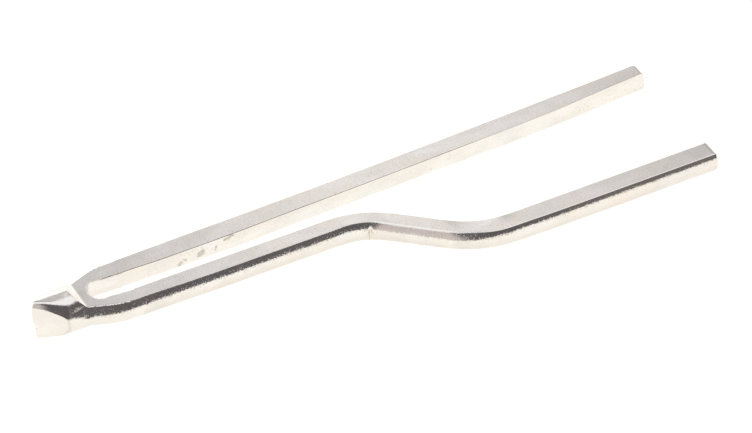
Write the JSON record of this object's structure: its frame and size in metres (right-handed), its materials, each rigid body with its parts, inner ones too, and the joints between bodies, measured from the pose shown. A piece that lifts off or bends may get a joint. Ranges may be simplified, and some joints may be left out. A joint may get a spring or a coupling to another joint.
{
  "type": "two-tined fork",
  "caption": "Small plated fork pressed from round rod: a chisel-ended round stub, a flat yoke, one straight springy tine and one that steps outwards, to be gripped, struck or plugged in.",
  "frame": {"origin": "on the round stub's axis, in the middle of its full-round length", "axes": "+X from the stub towards the tine ends, +Y towards the straight tine, +Z square to the flat of the fork"},
  "size_m": [0.0778, 0.0187, 0.005],
  "materials": {
    "plated_stem": "dull nickel plate, slightly wavy",
    "plated_straight_tine": "dull nickel plate with small stains",
    "plated_joggled_tine": "dull nickel plate, creased at the first bend"
  },
  "bodies": {
    "stem": {"stem": "plated_stem"},
    "straight_tine": {"straight_tine": "plated_straight_tine"},
    "joggled_tine": {"joggled_tine": "plated_joggled_tine"}
  },
  "joints": [
    {"name": "straight_tine_flex", "type": "hinge", "parent": "stem", "child": "straight_tine", "pos_m": [0.0076, 0.00275, 0], "axis": [0, 0, 1], "range_deg": [-1, 1], "stiffness_Nm_per_rad": 22},
    {"name": "joggled_tine_flex", "type": "hinge", "parent": "stem", "child": "joggled_tine", "pos_m": [0.0076, -0.00275, 0], "axis": [0, 0, -1], "range_deg": [-1, 1], "stiffness_Nm_per_rad": 22}
  ]
}
